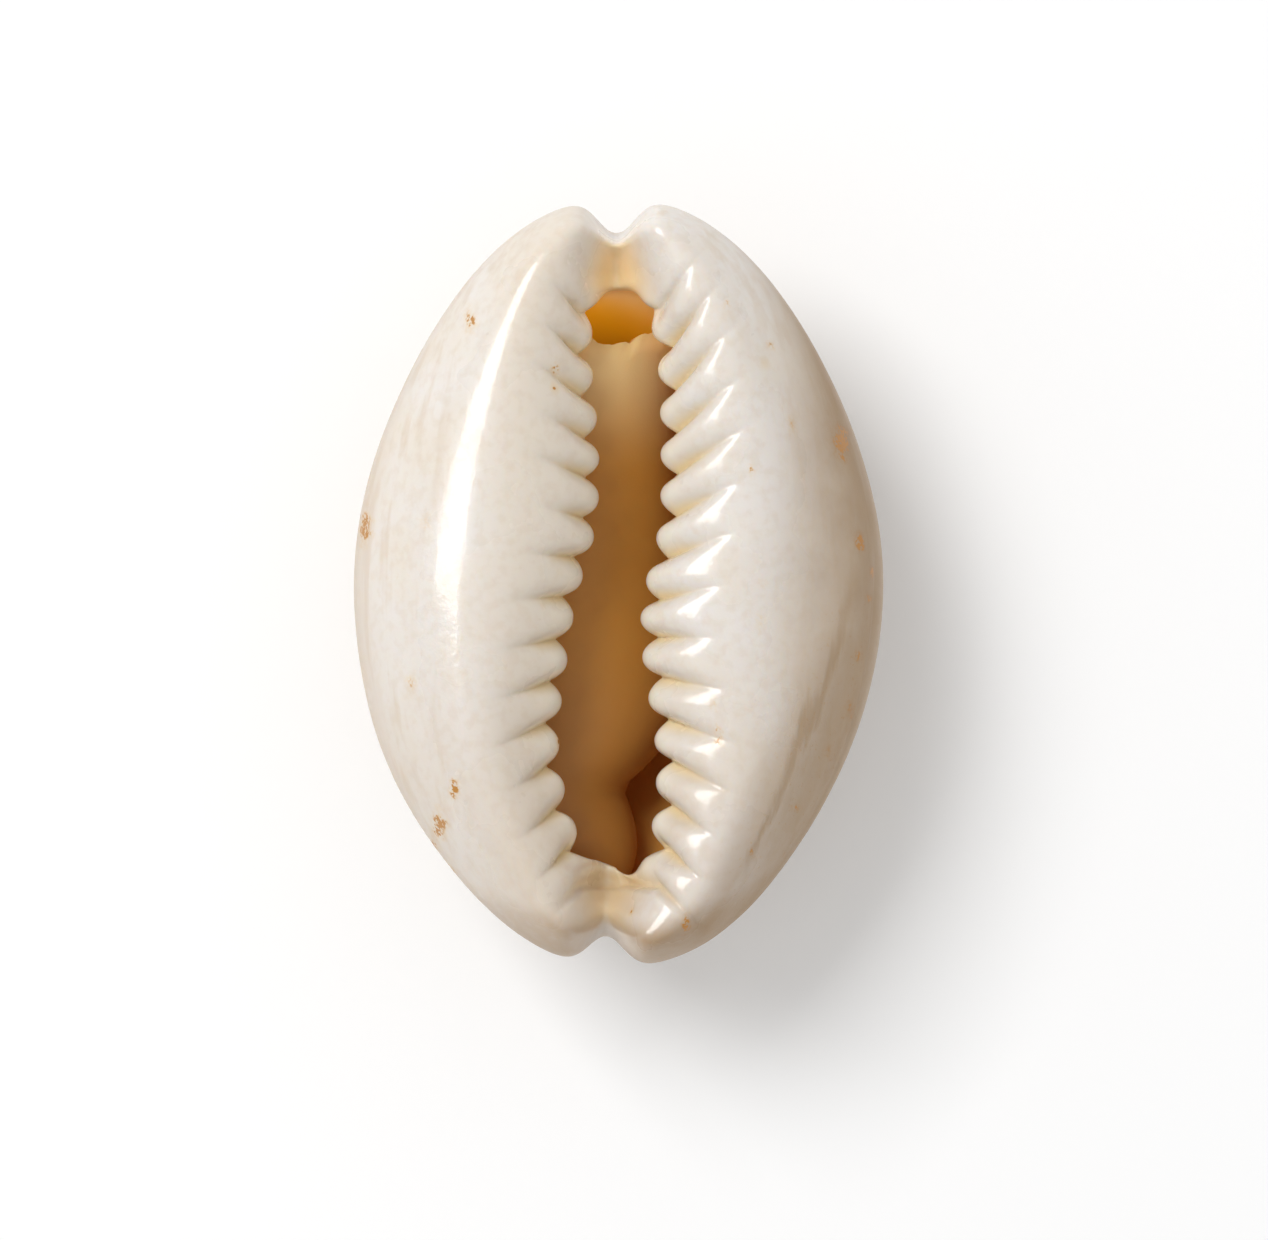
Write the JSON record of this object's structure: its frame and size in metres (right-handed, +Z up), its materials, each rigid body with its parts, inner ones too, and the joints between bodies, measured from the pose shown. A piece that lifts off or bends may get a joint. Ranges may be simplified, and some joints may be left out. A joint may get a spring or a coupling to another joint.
{
  "type": "cowrie shell",
  "caption": "Glossy cowrie shell lying on its back, egg-shaped and hollow, with a narrow toothed slit from end to end.",
  "frame": {"origin": "middle of the shell's outline, at the level of the flat spot on its back that it rests on", "axes": "+X points to the outer lip, +Y along the shell to its spire end, +Z up out of the aperture"},
  "size_m": [0.0176, 0.0249, 0.0124],
  "materials": {
    "shell": "gloss"
  },
  "bodies": {
    "root": {"shell": "shell"}
  },
  "joints": []
}
